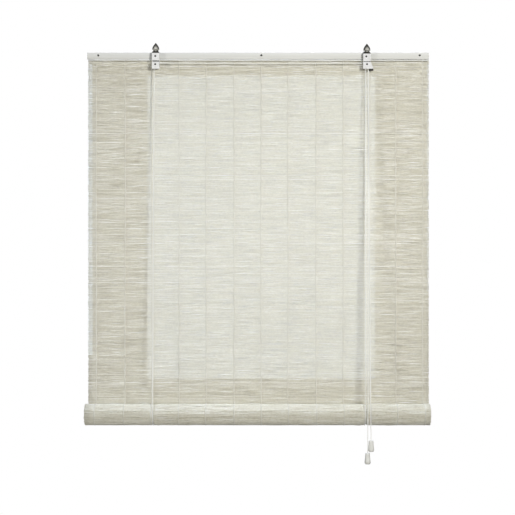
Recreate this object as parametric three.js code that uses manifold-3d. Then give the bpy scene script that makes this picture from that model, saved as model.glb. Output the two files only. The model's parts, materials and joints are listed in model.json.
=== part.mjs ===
// A roll-up blind of woven wooden matchsticks, 900 mm wide, hanging from a clamped head rail.
// Two lift cords cradle the roll, turn over pulleys in the head and leave through a cord lock.
// Millimetres, +Z up, +X to the right as seen from the room, +Y into the wall; y = 0 is the wall.
import * as THREE from "three";
import { mergeVertices } from "three/addons/utils/BufferGeometryUtils.js";
import Module from "manifold-3d";

const wasm = await Module();
wasm.setup();

// ---------- Driving dimensions ----------
const GAP = 0.3; // between neighbouring pieces

// Head rail: a rear batten and a front board with the top of the woven panel clamped between them.
const RAIL_HALF_WIDTH = 450;
const RAIL_HALF_HEIGHT = 8.2;
const BATTEN_DEPTH = 6;
const PANEL_THICKNESS = 1.4;
const BOARD_DEPTH = 8;
const EDGE_RADIUS = 1;
const PANEL_BACK_Y = -BATTEN_DEPTH - GAP;
const PANEL_FRONT_Y = PANEL_BACK_Y - PANEL_THICKNESS;
const BOARD_BACK_Y = PANEL_FRONT_Y - GAP;
const BOARD_FRONT_Y = BOARD_BACK_Y - BOARD_DEPTH;

// Clamp screws through the head rail.
const CLAMP_SCREWS = { left: -421, centre: 9, right: 426 };
const CLAMP_SCREW_Z = 1;
const CLAMP_SCREW_TIP_Y = -1.5;
const SCREW_HOLE_RADIUS = 1.8;

// Woven panel, hanging from the rail to the back of the roll.
const PANEL_LEFT = -448;
const PANEL_RIGHT = 450.8;
const PANEL_TOP = 8;

// Roll, lying in front of the panel.
const ROLL_RADIUS = 26.7;
const ROLL_BORE_RADIUS = 9.3;
const ROLL_HALF_WIDTH = 452.5;
const ROLL_X = -1.3;
const ROLL_Y = PANEL_FRONT_Y - GAP - ROLL_RADIUS;
const ROLL_Z = -943;
const BOTTOM_BAR = { halfWidth: 449, depth: 15, height: 7, radius: 2.5 };

// Lift cords and where they press a dent into the roll.
const CORD_RADIUS = 1;
const CORD_SIDES = 8;
const REAR_CORD_Y = -3.2;
const DENT_DEPTH = 3.2;
const DENT_FLOOR = 2;
const SLING_FOOT_Z = ROLL_Z + 18; // where a sling ends, above the front of the roll
const ANCHOR_KNOT = { radius: 2.3, height: 4.2 };

// Brackets on the front board: cap, finial above it, pulley housing below it.
const PLATE = 1.2;
const BRACKET_HALF_WIDTH = 10;
const BRACKET_BACK_Y = BOARD_FRONT_Y - GAP;
const BRACKET_INSIDE_Y = BRACKET_BACK_Y - PLATE;
const BRACKET_FRONT_Y = -28.5;
const COVER_INSIDE_Y = BRACKET_FRONT_Y + PLATE;
const CAP_TOP = 5.9;
const CAP_BOTTOM = -14.3;
const HOUSING_TOP = -18.1;
const HOUSING_BOTTOM = -36;
const HOUSING_WALL = 1;
const AXLE_Z = -23.9;
const AXLE_RADIUS = 1.2;
const AXLE_HOLE_RADIUS = 1.5;
const FINIAL_Y = (BRACKET_INSIDE_Y + BRACKET_FRONT_Y) / 2;
const FINIAL_STEM_RADIUS = 2;
const FINIAL_BASE = { bottomWidth: 20, topWidth: 14, height: 4.9, depthShare: 0.53 };
const LEFT = { x: -268.9, drop: 0, axleX: -270, screwX: -269.7, screwZ: -2.4, cordX: -274.4 };
const RIGHT = { x: 286.3, drop: 2.1, axleX: 286.4, screwX: 284.4, screwZ: -3.5, cordX: 279.5 };

// Pulleys.
const PULLEY = { radius: 4.4, groove: 2.1, grooveHalfWidth: 1.3, bore: 1.5, width: 3.8 };
const CORD_TURN_RADIUS = PULLEY.groove + GAP + CORD_RADIUS;
const REAR_CORD_PLANE = -20;
const FRONT_CORD_PLANE = -24.4;

// Cord lock in the right housing, which flares out for the cam.
const LOCK_FLARE_X = 303.4;
const CAM = { x: 297.4, z: -28.4, bore: 1.6, pin: 1.3, nose: 3.2, width: 8.4, toothDepth: 0.5 };
const ANVIL = { x: 286.9, z: -32.8, radius: 1.4 };

// Pull knobs: a shell with a pocket for the stopper knot.
const KNOB_LENGTH = 28.7;
const KNOB_POCKET_DEPTH = 13;
const KNOB_BORE_RADIUS = 1.4;
const KNOB_POCKET_RADIUS = 4.6;
const STOPPER_KNOT = { radius: 3.4, height: 6.4 };

// Routes of the two pull cords, from the cord lock down over the front of the roll to the knots.
// Each has one length above PULL_CORD_SPLIT_Z, which gets shorter as the roll rises, and one below it.
const PULL_CORD_SPLIT_Z = -924;
const PULL_CORD_A = [
  [289.8, -20.0, -38.1],
  [289.8, -20.2, -42.0],
  [289.7, -20.7, -52.0],
  [289.5, -22.2, -85.0],
  [289.2, -25.6, -155.0],
  [288.9, -29.5, -235.0],
  [288.5, -33.4, -315.0],
  [288.2, -37.3, -395.0],
  [287.8, -41.2, -475.0],
  [287.5, -45.1, -555.0],
  [287.1, -49.0, -635.0],
  [286.8, -52.9, -715.0],
  [286.4, -56.8, -795.0],
  [286.1, -60.5, -870.0],
  [285.9, -63.0, -924.0],
  [285.8, -63.6, -941.0],
  [285.7, -64.0, -960.0],
  [285.4, -64.2, -990.0],
  [285.2, -64.2, -1015.0],
  [285.0, -64.2, -1034.0],
  [285.0, -64.2, -1055.7],
];
const PULL_CORD_B = [
  [289.8, -24.4, -38.1],
  [289.8, -24.6, -42.0],
  [289.8, -25.0, -52.0],
  [290.0, -26.4, -85.0],
  [290.2, -29.4, -155.0],
  [290.5, -32.8, -235.0],
  [290.8, -36.2, -315.0],
  [291.0, -39.6, -395.0],
  [291.3, -43.0, -475.0],
  [291.6, -46.4, -555.0],
  [291.8, -49.8, -635.0],
  [292.1, -53.2, -715.0],
  [292.4, -56.6, -795.0],
  [292.6, -59.8, -870.0],
  [292.8, -62.0, -924.0],
  [293.0, -62.6, -941.0],
  [293.4, -62.9, -960.0],
  [293.9, -63.0, -985.0],
  [294.2, -63.0, -1003.0],
  [294.2, -63.0, -1023.7],
];
const KNOB_A_TOP = -1040.3;
const KNOB_B_TOP = -1008.3;

// ---------- Materials ----------
const finish = (color, roughness, metalness) =>
  new THREE.MeshStandardMaterial({ color, roughness, metalness });
const PAINTED_WOOD = finish(0xdcdbd2, 0.55, 0);
const BARE_WOOD = finish(0xc9c0a6, 0.7, 0);
const WOVEN_SLATS = finish(0xcfccbd, 0.75, 0);
const CORD = finish(0xdeddd2, 0.9, 0);
const NICKEL = finish(0xd9d8d2, 0.25, 1);
const DARK_STEEL = finish(0x6d6a63, 0.35, 1);
const NYLON = finish(0xe6e4da, 0.45, 0);
const KNOB_PLASTIC = finish(0xdad9cf, 0.4, 0);

// ---------- Solid helpers ----------
const root = new THREE.Group();

function add(name, geometry, material) {
  const mesh = new THREE.Mesh(geometry, material);
  mesh.name = name;
  root.add(mesh);
}

function solidOf(geometry) {
  const bare = geometry.clone();
  bare.deleteAttribute("normal");
  bare.deleteAttribute("uv");
  const merged = mergeVertices(bare, 1e-4);
  return new wasm.Manifold(
    new wasm.Mesh({
      numProp: 3,
      vertProperties: new Float32Array(merged.attributes.position.array),
      triVerts: new Uint32Array(merged.index.array),
    }),
  );
}

function geometryOf(solid) {
  const mesh = solid.getMesh();
  const geometry = new THREE.BufferGeometry();
  geometry.setAttribute("position", new THREE.BufferAttribute(mesh.vertProperties, 3));
  geometry.setIndex(new THREE.BufferAttribute(mesh.triVerts, 1));
  geometry.computeVertexNormals();
  return geometry;
}

function cut(geometry, tools) {
  return geometryOf(tools.reduce((body, tool) => body.subtract(solidOf(tool)), solidOf(geometry)));
}

function join(geometry, others) {
  return geometryOf(others.reduce((body, other) => body.add(solidOf(other)), solidOf(geometry)));
}

// A box between two corners.
function block(low, high) {
  const size = high.map((value, i) => value - low[i]);
  const middle = high.map((value, i) => (value + low[i]) / 2);
  return new THREE.BoxGeometry(...size).translate(...middle);
}

// A lathe turned about the Y axis; each profile point is [radius, y].
function latheY(profile, x, z, segments) {
  const points = profile.map(([radius, y]) => new THREE.Vector2(radius, y));
  return new THREE.LatheGeometry(points, segments).translate(x, 0, z);
}

// A lathe turned about an upright axis; each profile point is [radius, z].
function latheZ(profile, x, y, segments) {
  const points = profile.map(([radius, z]) => new THREE.Vector2(radius, z));
  return new THREE.LatheGeometry(points, segments).rotateX(Math.PI / 2).translate(x, y, 0);
}

function rodY(radius, yFrom, yTo, x, z, segments = 16) {
  const low = Math.min(yFrom, yTo);
  const high = Math.max(yFrom, yTo);
  return latheY([[0, low], [radius, low], [radius, high], [0, high]], x, z, segments);
}

function rodZ(radius, zFrom, zTo, x, y, segments = 16) {
  const profile = [[0, zFrom], [radius, zFrom], [radius, zTo], [0, zTo]];
  return latheZ(profile, x, y, segments);
}

// A flat plate with an outline of [x, z] points, facing the room, from yFront back by thickness.
function plate(outline, yFront, thickness) {
  const shape = new THREE.Shape(outline.map(([x, z]) => new THREE.Vector2(x, z)));
  const settings = { depth: thickness, bevelEnabled: false };
  return new THREE.ExtrudeGeometry(shape, settings)
    .rotateX(Math.PI / 2)
    .translate(0, yFront + thickness, 0);
}

// A bar along X with rounded edges, between y and z limits.
function roundedBar(xFrom, xTo, yLow, yHigh, zLow, zHigh, radius) {
  const shape = new THREE.Shape();
  shape.absarc(yHigh - radius, zHigh - radius, radius, 0, Math.PI / 2);
  shape.absarc(yLow + radius, zHigh - radius, radius, Math.PI / 2, Math.PI);
  shape.absarc(yLow + radius, zLow + radius, radius, Math.PI, 1.5 * Math.PI);
  shape.absarc(yHigh - radius, zLow + radius, radius, 1.5 * Math.PI, 2 * Math.PI);
  const settings = { depth: xTo - xFrom, bevelEnabled: false, curveSegments: 3 };
  return new THREE.ExtrudeGeometry(shape, settings)
    .rotateZ(Math.PI / 2)
    .rotateY(Math.PI / 2)
    .translate(xFrom, 0, 0);
}

// A path that takes exactly one step from each point of its list to the next.
class CordPath extends THREE.CatmullRomCurve3 {
  getPointAt(u, target) {
    return this.getPoint(u, target);
  }

  getTangentAt(u, target) {
    return this.getTangent(u, target);
  }
}

function cord(route, stepsPerPoint = 1) {
  const path = new CordPath(route.map((point) => new THREE.Vector3(...point)));
  const section = new THREE.Shape();
  for (let i = 0; i < CORD_SIDES; i++) {
    const angle = (2 * Math.PI * i) / CORD_SIDES;
    const corner = [CORD_RADIUS * Math.cos(angle), CORD_RADIUS * Math.sin(angle)];
    if (i === 0) section.moveTo(...corner);
    else section.lineTo(...corner);
  }
  const steps = (route.length - 1) * stepsPerPoint;
  return new THREE.ExtrudeGeometry(section, { steps, extrudePath: path });
}

// A screw or rivet along Y with a domed head at yHead, its shank running back to yTip.
function headedPin(x, z, yHead, yTip, headRadius, headHeight, shankRadius) {
  const profile = [
    [0, yHead - headHeight],
    [headRadius * 0.55, yHead - headHeight * 0.92],
    [headRadius * 0.88, yHead - headHeight * 0.6],
    [headRadius, yHead - headHeight * 0.15],
    [headRadius, yHead],
    [shankRadius, yHead],
    [shankRadius, yTip],
    [0, yTip],
  ];
  return latheY(profile, x, z, 16);
}

// ---------- Head rail ----------
function headRail() {
  const screwXs = Object.values(CLAMP_SCREWS);
  const screwHoles = (yFrom, yTo) =>
    screwXs.map((x) => rodY(SCREW_HOLE_RADIUS, yFrom, yTo, x, CLAMP_SCREW_Z));
  const w = RAIL_HALF_WIDTH;
  const h = RAIL_HALF_HEIGHT;
  const bar = (yLow, yHigh) => roundedBar(-w, w, yLow, yHigh, -h, h, EDGE_RADIUS);

  const cordHoles = [LEFT, RIGHT].map((side) =>
    rodZ(CORD_RADIUS + 2 * GAP, -RAIL_HALF_HEIGHT - 1, RAIL_HALF_HEIGHT + 1, side.cordX, REAR_CORD_Y),
  );
  const rearHoles = screwHoles(-BATTEN_DEPTH - 1, CLAMP_SCREW_TIP_Y + GAP);
  add("head_rear_batten", cut(bar(-BATTEN_DEPTH, 0), [...rearHoles, ...cordHoles]), BARE_WOOD);

  const bracketHoles = [LEFT, RIGHT].map((side) =>
    rodY(SCREW_HOLE_RADIUS, BOARD_FRONT_Y - 1, BOARD_BACK_Y + 1, side.screwX, side.screwZ),
  );
  const boardHoles = screwHoles(BOARD_FRONT_Y - 1, BOARD_BACK_Y + 1);
  const board = bar(BOARD_FRONT_Y, BOARD_BACK_Y);
  add("head_front_board", cut(board, [...boardHoles, ...bracketHoles]), PAINTED_WOOD);

  const panel = block([PANEL_LEFT, PANEL_FRONT_Y, ROLL_Z], [PANEL_RIGHT, PANEL_BACK_Y, PANEL_TOP]);
  add("woven_panel", cut(panel, screwHoles(PANEL_FRONT_Y - 1, PANEL_BACK_Y + 1)), WOVEN_SLATS);

  for (const [place, x] of Object.entries(CLAMP_SCREWS)) {
    const yHead = BOARD_FRONT_Y - GAP;
    add(
      `clamp_screw_${place}`,
      headedPin(x, CLAMP_SCREW_Z, yHead, CLAMP_SCREW_TIP_Y, 2.6, 1.2, SCREW_HOLE_RADIUS - GAP),
      DARK_STEEL,
    );
  }
}

// ---------- Brackets ----------
function rectangle(x, zLow, zHigh) {
  return [
    [x - BRACKET_HALF_WIDTH, zLow],
    [x + BRACKET_HALF_WIDTH, zLow],
    [x + BRACKET_HALF_WIDTH, zHigh],
    [x - BRACKET_HALF_WIDTH, zHigh],
  ];
}

// The rectangle with its lower right side flared out over the cord lock.
function flaredOutline(x, zLow, zHigh) {
  const outline = [
    [x - BRACKET_HALF_WIDTH, zLow],
    [LOCK_FLARE_X, zLow],
    [x + BRACKET_HALF_WIDTH, HOUSING_TOP],
  ];
  if (zHigh > HOUSING_TOP) outline.push([x + BRACKET_HALF_WIDTH, zHigh]);
  outline.push([x - BRACKET_HALF_WIDTH, zHigh]);
  return outline;
}

function capBox(side) {
  const x = side.x;
  const top = CAP_TOP - side.drop;
  const bottom = CAP_BOTTOM - side.drop;
  const backY = BRACKET_INSIDE_Y - GAP;
  const reach = BRACKET_HALF_WIDTH;
  const shell = block([x - reach, BRACKET_FRONT_Y, bottom], [x + reach, backY, top]);
  const inside = reach - PLATE;
  const hollow = block([x - inside, COVER_INSIDE_Y, bottom - 1], [x + inside, backY + 1, top - PLATE]);
  const throughFront = [BRACKET_FRONT_Y - 1, COVER_INSIDE_Y + 1];
  const screwHole = rodY(SCREW_HOLE_RADIUS, ...throughFront, side.screwX, side.screwZ);
  const stemHole = rodZ(FINIAL_STEM_RADIUS + GAP, top - PLATE - 1, top + 1, x, FINIAL_Y);
  return cut(shell, [hollow, screwHole, stemHole]);
}

function pulleyHousing(outline, side) {
  const front = plate(outline, BRACKET_FRONT_Y, PLATE);
  const roof = block(
    [side.x - BRACKET_HALF_WIDTH, COVER_INSIDE_Y - PLATE / 2, HOUSING_TOP - HOUSING_WALL],
    [side.x + BRACKET_HALF_WIDTH, BRACKET_INSIDE_Y - GAP, HOUSING_TOP],
  );
  const axleHole = rodY(AXLE_HOLE_RADIUS, BRACKET_FRONT_Y - 1, COVER_INSIDE_Y + 1, side.axleX, AXLE_Z);
  return geometryOf(solidOf(join(front, [roof])).subtract(solidOf(axleHole)));
}

function finialBase(side) {
  const { bottomWidth, topWidth, height, depthShare } = FINIAL_BASE;
  const low = CAP_TOP - side.drop + GAP;
  const cornerRadius = Math.SQRT1_2;
  const frustum = new THREE.CylinderGeometry(topWidth * cornerRadius, bottomWidth * cornerRadius, height, 4)
    .rotateY(Math.PI / 4)
    .rotateX(Math.PI / 2)
    .scale(1, depthShare, 1)
    .translate(side.x, FINIAL_Y, low + height / 2);
  return cut(frustum, [rodZ(FINIAL_STEM_RADIUS + GAP, low - 1, low + height + 1, side.x, FINIAL_Y)]);
}

// An onion-shaped finial on a waisted neck, with a stem that goes down into the cap.
function finial(side) {
  const base = CAP_TOP - side.drop + 2 * GAP + FINIAL_BASE.height;
  const profile = [
    [0, base - 9],
    [FINIAL_STEM_RADIUS, base - 9],
    [FINIAL_STEM_RADIUS, base],
    [5.9, base],
    [5.5, base + 1.2],
    [5.7, base + 2.3],
    [7.6, base + 3.6],
    [8.8, base + 5.4],
    [9.0, base + 7.4],
    [8.2, base + 10],
    [6.2, base + 13.6],
    [4.0, base + 16.8],
    [2.1, base + 19.4],
    [0.9, base + 20.6],
    [0, base + 21],
  ];
  return latheZ(profile, side.x, FINIAL_Y, 24);
}

function pulley(side, planeY) {
  const { radius, groove, grooveHalfWidth, bore, width } = PULLEY;
  const half = width / 2;
  const rim = 0.3;
  const profile = [
    [bore, planeY - half],
    [radius, planeY - half],
    [radius, planeY - half + rim],
    [groove, planeY - grooveHalfWidth],
    [groove, planeY + grooveHalfWidth],
    [radius, planeY + half - rim],
    [radius, planeY + half],
    [bore, planeY + half],
    [bore, planeY - half],
  ];
  return latheY(profile, side.axleX, AXLE_Z, 24);
}

function axle(side) {
  const yHead = BRACKET_FRONT_Y - GAP;
  return headedPin(side.axleX, AXLE_Z, yHead, BRACKET_BACK_Y - GAP, 2.4, 1.4, AXLE_RADIUS);
}

function bracket(name, side, backOutline, housingOutline, extraHoles) {
  const back = plate(backOutline, BRACKET_INSIDE_Y, PLATE);
  const through = [BRACKET_INSIDE_Y - 1, BRACKET_BACK_Y + 1];
  const holes = [
    rodY(SCREW_HOLE_RADIUS, ...through, side.screwX, side.screwZ),
    rodY(AXLE_HOLE_RADIUS, ...through, side.axleX, AXLE_Z),
    ...extraHoles.map(([radius, x, z]) => rodY(radius, ...through, x, z)),
  ];
  add(`${name}_back_plate`, cut(back, holes), NICKEL);
  add(`${name}_cap`, capBox(side), NICKEL);
  const screwHeadY = BRACKET_FRONT_Y - GAP;
  add(
    `${name}_bracket_screw`,
    headedPin(side.screwX, side.screwZ, screwHeadY, BOARD_BACK_Y - 1, 2.5, 1.5, SCREW_HOLE_RADIUS - GAP),
    DARK_STEEL,
  );
  add(`${name}_pulley_housing`, pulleyHousing(housingOutline, side), NICKEL);
  add(`${name}_finial_base`, finialBase(side), DARK_STEEL);
  add(`${name}_finial`, finial(side), NICKEL);
  add(`${name}_axle`, axle(side), DARK_STEEL);
}

function leftBracket() {
  const back = rectangle(LEFT.x, HOUSING_BOTTOM, CAP_TOP);
  bracket("left", LEFT, back, rectangle(LEFT.x, HOUSING_BOTTOM, HOUSING_TOP), []);
  add("left_pulley", pulley(LEFT, REAR_CORD_PLANE), NYLON);
  const spacerBack = REAR_CORD_PLANE - PULLEY.width / 2 - GAP;
  const spacerFront = COVER_INSIDE_Y + GAP;
  const spacer = [
    [AXLE_HOLE_RADIUS, spacerFront],
    [2.6, spacerFront],
    [2.6, spacerBack],
    [AXLE_HOLE_RADIUS, spacerBack],
    [AXLE_HOLE_RADIUS, spacerFront],
  ];
  add("left_axle_spacer", latheY(spacer, LEFT.axleX, AXLE_Z, 16), NYLON);
}

function rightBracket() {
  const back = flaredOutline(RIGHT.x, HOUSING_BOTTOM, CAP_TOP - RIGHT.drop);
  const front = flaredOutline(RIGHT.x, HOUSING_BOTTOM, HOUSING_TOP);
  const pinHoles = [
    [ANVIL.radius + GAP, ANVIL.x, ANVIL.z],
    [CAM.pin + GAP, CAM.x, CAM.z],
  ];
  bracket("right", RIGHT, back, front, pinHoles);
  add("right_rear_pulley", pulley(RIGHT, REAR_CORD_PLANE), NYLON);
  add("right_front_pulley", pulley(RIGHT, FRONT_CORD_PLANE), NYLON);
}

// ---------- Cord lock ----------
function cordLock() {
  const pinBackY = BRACKET_BACK_Y - GAP;
  const pinFrontY = COVER_INSIDE_Y + GAP;
  add("lock_anvil_pin", rodY(ANVIL.radius, pinFrontY, pinBackY, ANVIL.x, ANVIL.z), DARK_STEEL);
  add("lock_cam_pin", rodY(CAM.pin, pinFrontY, pinBackY, CAM.x, CAM.z), DARK_STEEL);

  const outline = [];
  const noseSteps = 8;
  for (let i = 0; i <= noseSteps; i++) {
    const angle = (Math.PI * i) / noseSteps;
    outline.push([CAM.nose * Math.cos(angle), CAM.nose * Math.sin(angle)]);
  }
  const faceX = -6.2;
  const toothPitch = 1.5;
  for (let z = -3.6; z > -11; z -= toothPitch) {
    outline.push([faceX, z]);
    outline.push([faceX + CAM.toothDepth, z - toothPitch / 2]);
  }
  outline.push([faceX + CAM.toothDepth, -12.2]);
  outline.push([5.8, -12.2]);
  outline.push([5.8, -8]);
  const middleY = (BRACKET_INSIDE_Y + COVER_INSIDE_Y) / 2;
  const placed = outline.map(([x, z]) => [CAM.x + x, CAM.z + z]);
  const blank = plate(placed, middleY - CAM.width / 2, CAM.width);
  const bore = rodY(CAM.bore, middleY - CAM.width, middleY + CAM.width, CAM.x, CAM.z);
  add("lock_cam", cut(blank, [bore]), DARK_STEEL);
}

// ---------- Roll ----------
// Radius of the roll along its length, pressed in by the cord slings.
function rollProfile() {
  const left = ROLL_X - ROLL_HALF_WIDTH;
  const right = ROLL_X + ROLL_HALF_WIDTH;
  const floor = ROLL_RADIUS - DENT_DEPTH;
  const dent = (x, leftReach, rightReach) => [
    [ROLL_RADIUS, x - leftReach],
    [ROLL_RADIUS - DENT_DEPTH * 0.25, x - leftReach * 0.7],
    [floor, x - DENT_FLOOR],
    [floor, x + DENT_FLOOR],
    [ROLL_RADIUS - DENT_DEPTH * 0.25, x + rightReach * 0.7],
    [ROLL_RADIUS, x + rightReach],
  ];
  return [
    [ROLL_BORE_RADIUS, left + 2],
    [ROLL_RADIUS * 0.6, left + 1],
    [ROLL_RADIUS * 0.8, left],
    [ROLL_RADIUS * 0.95, left + 1],
    [ROLL_RADIUS, left + 3],
    ...dent(LEFT.cordX, 10, 8),
    ...dent(RIGHT.cordX, 10, 18),
    [ROLL_RADIUS, right - 3],
    [ROLL_RADIUS * 0.95, right - 1],
    [ROLL_RADIUS * 0.8, right],
    [ROLL_RADIUS * 0.6, right - 1],
    [ROLL_BORE_RADIUS, right - 2],
    [ROLL_BORE_RADIUS, left + 2],
  ];
}

function roll() {
  const points = rollProfile().map(([radius, x]) => new THREE.Vector2(radius, x));
  const wound = new THREE.LatheGeometry(points, 40)
    .rotateZ(-Math.PI / 2)
    .translate(0, ROLL_Y, ROLL_Z);
  add("fabric_roll", wound, WOVEN_SLATS);

  const { halfWidth, depth, height, radius } = BOTTOM_BAR;
  const bar = roundedBar(
    ROLL_X - halfWidth,
    ROLL_X + halfWidth,
    ROLL_Y - depth / 2,
    ROLL_Y + depth / 2,
    ROLL_Z - height / 2,
    ROLL_Z + height / 2,
    radius,
  );
  add("bottom_bar", bar, BARE_WOOD);
}

// ---------- Lift cords ----------
const SLING_BACK_RADIUS = REAR_CORD_Y - ROLL_Y;
const SLING_FRONT_RADIUS = ROLL_RADIUS - DENT_DEPTH + CORD_RADIUS + 2 * GAP;
const SLING_FRONT_Y = ROLL_Y - SLING_FRONT_RADIUS;

// A point at height z on the straight line from the pulley down to the front of the roll.
function onFrontStrand(side, planeY, z) {
  const top = new THREE.Vector3(side.axleX - CORD_TURN_RADIUS, planeY, AXLE_Z - GAP);
  const bottom = new THREE.Vector3(side.cordX, SLING_FRONT_Y, ROLL_Z);
  return top.clone().lerp(bottom, (z - top.z) / (bottom.z - top.z)).toArray();
}

// The cradle of cord under the roll, from the rear strand round and up to the front strand.
function sling(side, planeY) {
  const steps = 18;
  const route = [];
  for (let i = 0; i <= steps; i++) {
    const angle = (Math.PI * i) / steps;
    const radius = THREE.MathUtils.lerp(SLING_BACK_RADIUS, SLING_FRONT_RADIUS, i / steps);
    route.push([side.cordX, ROLL_Y + radius * Math.cos(angle), ROLL_Z - GAP - radius * Math.sin(angle)]);
  }
  route.push(onFrontStrand(side, planeY, (ROLL_Z + SLING_FOOT_Z) / 2));
  route.push(onFrontStrand(side, planeY, SLING_FOOT_Z - GAP));
  return cord(route);
}

function rearStrand(side) {
  return cord([
    [side.cordX, REAR_CORD_Y, RAIL_HALF_HEIGHT + 0.1],
    [side.cordX, REAR_CORD_Y, ROLL_Z / 2],
    [side.cordX, REAR_CORD_Y, ROLL_Z],
  ]);
}

function frontStrand(side, planeY) {
  const heights = [AXLE_Z - GAP, (AXLE_Z + SLING_FOOT_Z) / 2, SLING_FOOT_Z];
  return cord(heights.map((z) => onFrontStrand(side, planeY, z)));
}

// A quarter turn over a pulley, from angle to angle in degrees, in the plane planeY.
function turn(side, planeY, fromDegrees, toDegrees) {
  const steps = 5;
  const points = [];
  for (let i = 0; i <= steps; i++) {
    const angle = THREE.MathUtils.degToRad(THREE.MathUtils.lerp(fromDegrees, toDegrees, i / steps));
    points.push([
      side.axleX + CORD_TURN_RADIUS * Math.cos(angle),
      planeY,
      AXLE_Z + CORD_TURN_RADIUS * Math.sin(angle),
    ]);
  }
  return points;
}

// The short run from the last pulley down between the anvil and the cam to the mouth of the lock.
function lockRun(planeY) {
  const x = RIGHT.axleX + CORD_TURN_RADIUS;
  const mouth = PULL_CORD_A[0][2] + GAP;
  return [
    [x, planeY, (AXLE_Z + mouth) / 2],
    [x, planeY, mouth],
  ];
}

function crossCord() {
  const sag = 1;
  const z = AXLE_Z + CORD_TURN_RADIUS;
  const span = [0.02, 0.2, 0.4, 0.6, 0.8, 0.98].map((share) => [
    THREE.MathUtils.lerp(LEFT.axleX, RIGHT.axleX, share),
    REAR_CORD_PLANE,
    z - 4 * sag * share * (1 - share),
  ]);
  return cord([
    ...turn(LEFT, REAR_CORD_PLANE, 180, 90),
    ...span,
    ...turn(RIGHT, REAR_CORD_PLANE, 90, 0),
    ...lockRun(REAR_CORD_PLANE),
  ]);
}

function anchorKnot(side) {
  const { radius, height } = ANCHOR_KNOT;
  const low = RAIL_HALF_HEIGHT + 0.1 + GAP;
  const profile = [
    [0, low],
    [radius * 0.7, low],
    [radius, low + height * 0.3],
    [radius, low + height * 0.65],
    [radius * 0.6, low + height],
    [0, low + height],
  ];
  return latheZ(profile, side.cordX, REAR_CORD_Y, 12);
}

function liftCords() {
  add("left_rear_strand", rearStrand(LEFT), CORD);
  add("right_rear_strand", rearStrand(RIGHT), CORD);
  add("left_anchor_knot", anchorKnot(LEFT), CORD);
  add("right_anchor_knot", anchorKnot(RIGHT), CORD);
  add("left_sling", sling(LEFT, REAR_CORD_PLANE), CORD);
  add("right_sling", sling(RIGHT, FRONT_CORD_PLANE), CORD);
  add("left_front_strand", frontStrand(LEFT, REAR_CORD_PLANE), CORD);
  add("right_front_strand", frontStrand(RIGHT, FRONT_CORD_PLANE), CORD);
  add("cross_cord", crossCord(), CORD);
  const rightTurn = [...turn(RIGHT, FRONT_CORD_PLANE, 180, 90), ...turn(RIGHT, FRONT_CORD_PLANE, 72, 0)];
  add("lock_cord", cord([...rightTurn, ...lockRun(FRONT_CORD_PLANE)]), CORD);
}

// ---------- Pull cords ----------
function knob(x, y, top) {
  const pocketTop = top - KNOB_LENGTH + KNOB_POCKET_DEPTH;
  const profile = [
    [KNOB_BORE_RADIUS, top],
    [5.2, top],
    [5.9, top - 0.7],
    [6.5, top - 8],
    [7.5, top - 17],
    [8.3, top - 22.5],
    [8.1, top - 25.5],
    [6.9, top - 27.7],
    [5.4, top - KNOB_LENGTH],
    [KNOB_POCKET_RADIUS, top - KNOB_LENGTH],
    [KNOB_POCKET_RADIUS, pocketTop],
    [KNOB_BORE_RADIUS, pocketTop],
    [KNOB_BORE_RADIUS, top],
  ];
  return latheZ(profile.reverse(), x, y, 24);
}

function stopperKnot(x, y, top) {
  const { radius, height } = STOPPER_KNOT;
  const profile = [
    [0, top - height],
    [radius * 0.6, top - height],
    [radius, top - height * 0.7],
    [radius * 0.92, top - height * 0.35],
    [radius * 0.5, top],
    [0, top],
  ];
  return latheZ(profile, x, y, 12);
}

function pullCord(letter, route, knobTop) {
  const [x, y, end] = route.at(-1);
  const split = route.findIndex(([, , z]) => z <= PULL_CORD_SPLIT_Z);
  const [splitX, splitY, splitZ] = route[split];
  const below = [[splitX, splitY, splitZ - GAP], ...route.slice(split + 1)];
  add(`pull_cord_${letter}_upper`, cord(route.slice(0, split + 1), 2), CORD);
  add(`pull_cord_${letter}_lower`, cord(below, 2), CORD);
  add(`pull_knob_${letter}`, knob(x, y, knobTop), KNOB_PLASTIC);
  add(`pull_knot_${letter}`, stopperKnot(x, y, end - GAP), CORD);
}

headRail();
leftBracket();
rightBracket();
cordLock();
roll();
liftCords();
pullCord("a", PULL_CORD_A, KNOB_A_TOP);
pullCord("b", PULL_CORD_B, KNOB_B_TOP);

export default root;
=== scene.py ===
"""A roll-up blind of woven matchsticks: head rail, panel, roll, brackets, cords and knobs.

Metres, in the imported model's frame: +Z up, +X right as seen from the room, +Y into the wall.
"""

import json
import math

import bmesh
import bpy
import numpy as np
from mathutils import Matrix, Vector


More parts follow.
